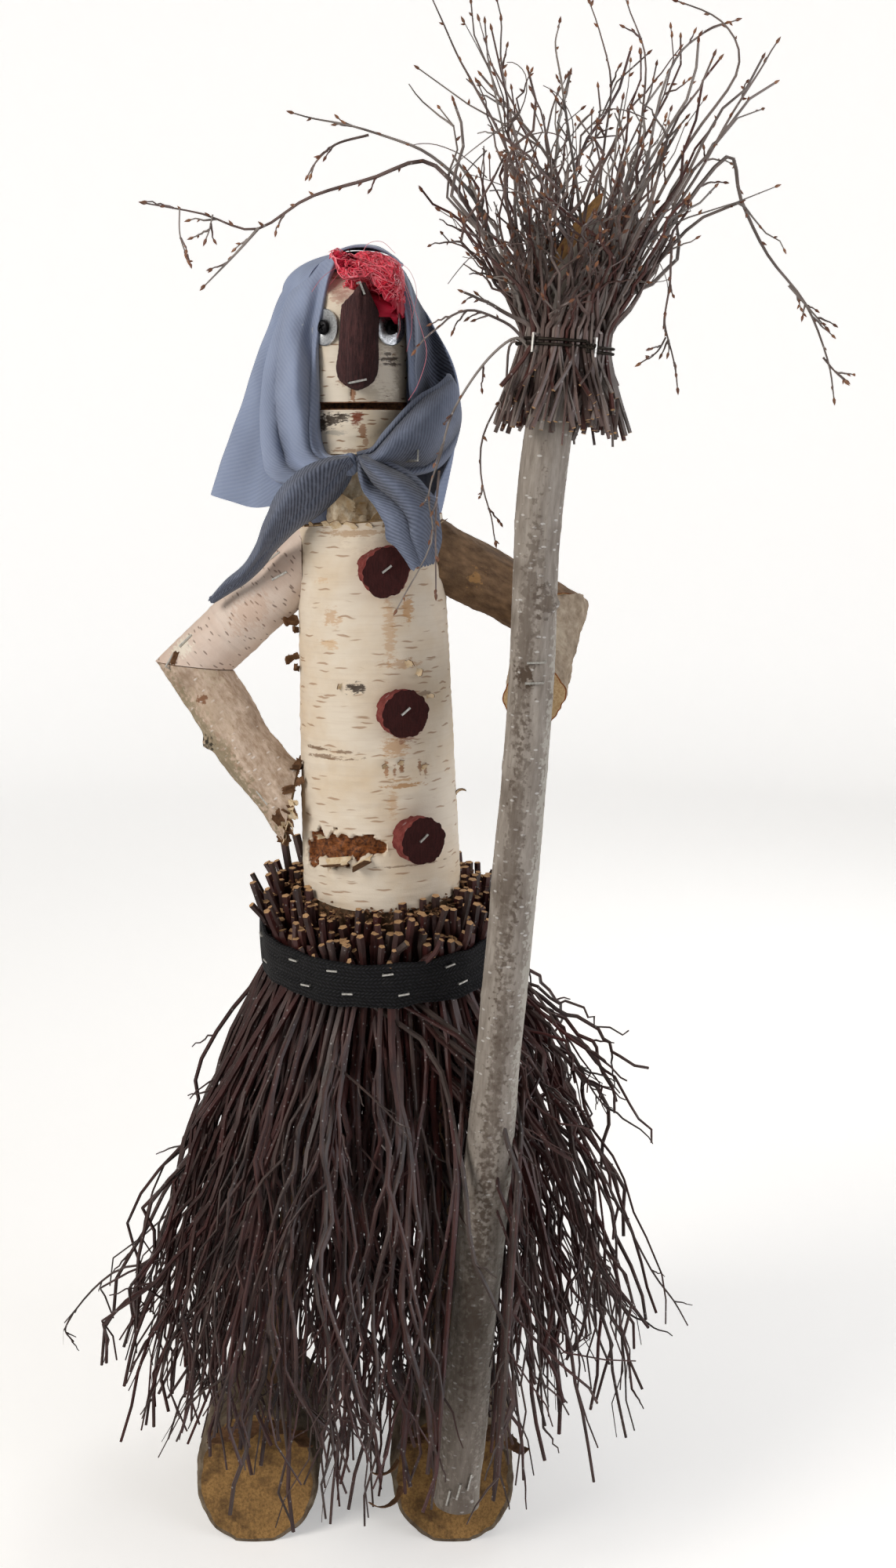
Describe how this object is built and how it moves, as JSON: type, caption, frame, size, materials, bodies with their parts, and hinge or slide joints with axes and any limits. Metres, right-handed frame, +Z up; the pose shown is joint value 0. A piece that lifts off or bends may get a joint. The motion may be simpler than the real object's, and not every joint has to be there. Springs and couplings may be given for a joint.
{
  "type": "wooden witch garden figure",
  "caption": "Standing witch figure of birch logs with a twig skirt, a cloth headscarf, red sisal hair and a tall twig broom held in its left hand.",
  "frame": {"origin": "on the floor, under the middle of the whole figure's bounding box", "axes": "+Z up; the face looks along -Y; +X is towards the figure's left hand, which holds the broom"},
  "size_m": [0.4488, 0.3948, 0.9598],
  "materials": {
    "birch_bark": "white birch bark, satin, with sawn ends",
    "grey_bark": "rough grey-brown bark, matt",
    "neck_bark": "flaky ochre and white birch bark, matt",
    "dark_bark": "dark brown fibrous split wood, matt",
    "red_bark": "dark red slice of branch, matt",
    "handle_bark": "smooth grey bark, satin",
    "sawn_wood": "sawn ochre log end with rusty rim, matt",
    "dowel": "turned pale dowel, matt",
    "skirt_twig": "dark red-brown birch twigs with tan cut ends",
    "broom_twig": "grey-brown birch twigs, satin",
    "headscarf_cloth": "grey-blue cotton twill, matt",
    "webbing": "black woven webbing, matt",
    "sisal": "pink-red dyed sisal fibre",
    "zinc_steel": "plain zinc-plated steel",
    "staple_wire": "bright staple wire",
    "black_screw": "black phosphated screw",
    "binding_wire": "black annealed wire"
  },
  "bodies": {
    "root": {"hip_core": "sawn_wood", "torso_log": "birch_bark", "neck_log": "neck_bark", "head_log": "birch_bark", "waist_dowel": "dowel", "neck_dowel": "dowel", "shoulder_dowel_right": "dowel", "shoulder_dowel_left": "dowel", "shoe_right": "sawn_wood", "shoe_left": "sawn_wood", "leg_right": "grey_bark", "leg_left": "grey_bark", "broom_handle": "handle_bark", "upper_arm_right": "birch_bark", "forearm_right": "birch_bark", "upper_arm_left": "grey_bark", "forearm_left": "grey_bark", "eye_washer_right": "zinc_steel", "eye_washer_left": "zinc_steel", "eye_screw_right": "black_screw", "eye_screw_left": "black_screw", "nose": "dark_bark", "button_top": "red_bark", "button_middle": "red_bark", "button_bottom": "red_bark", "skirt_twigs": "skirt_twig", "belt": "webbing", "broom_twigs": "broom_twig", "broom_wire": "binding_wire", "headscarf": "headscarf_cloth", "hair": "sisal", "staple_button_top": "staple_wire", "staple_button_middle": "staple_wire", "staple_button_bottom": "staple_wire", "staple_belt_upper_1": "staple_wire", "staple_belt_lower_1": "staple_wire", "staple_belt_upper_2": "staple_wire", "staple_belt_lower_2": "staple_wire", "staple_belt_upper_3": "staple_wire", "staple_belt_lower_3": "staple_wire", "staple_belt_upper_4": "staple_wire", "staple_belt_lower_4": "staple_wire", "staple_belt_upper_5": "staple_wire", "staple_belt_lower_5": "staple_wire", "staple_wire_1": "staple_wire", "staple_wire_2": "staple_wire", "staple_nose_upper": "staple_wire", "staple_nose_lower": "staple_wire", "staple_hand_upper": "staple_wire", "staple_hand_lower": "staple_wire", "staple_foot_1": "staple_wire", "staple_foot_2": "staple_wire", "staple_foot_3": "staple_wire", "staple_shoulder_upper": "staple_wire", "staple_shoulder_lower": "staple_wire", "staple_elbow_upper": "staple_wire", "staple_elbow_lower": "staple_wire", "staple_wrist": "staple_wire", "staple_scarf_right": "staple_wire", "staple_scarf_left": "staple_wire"}
  },
  "joints": []
}
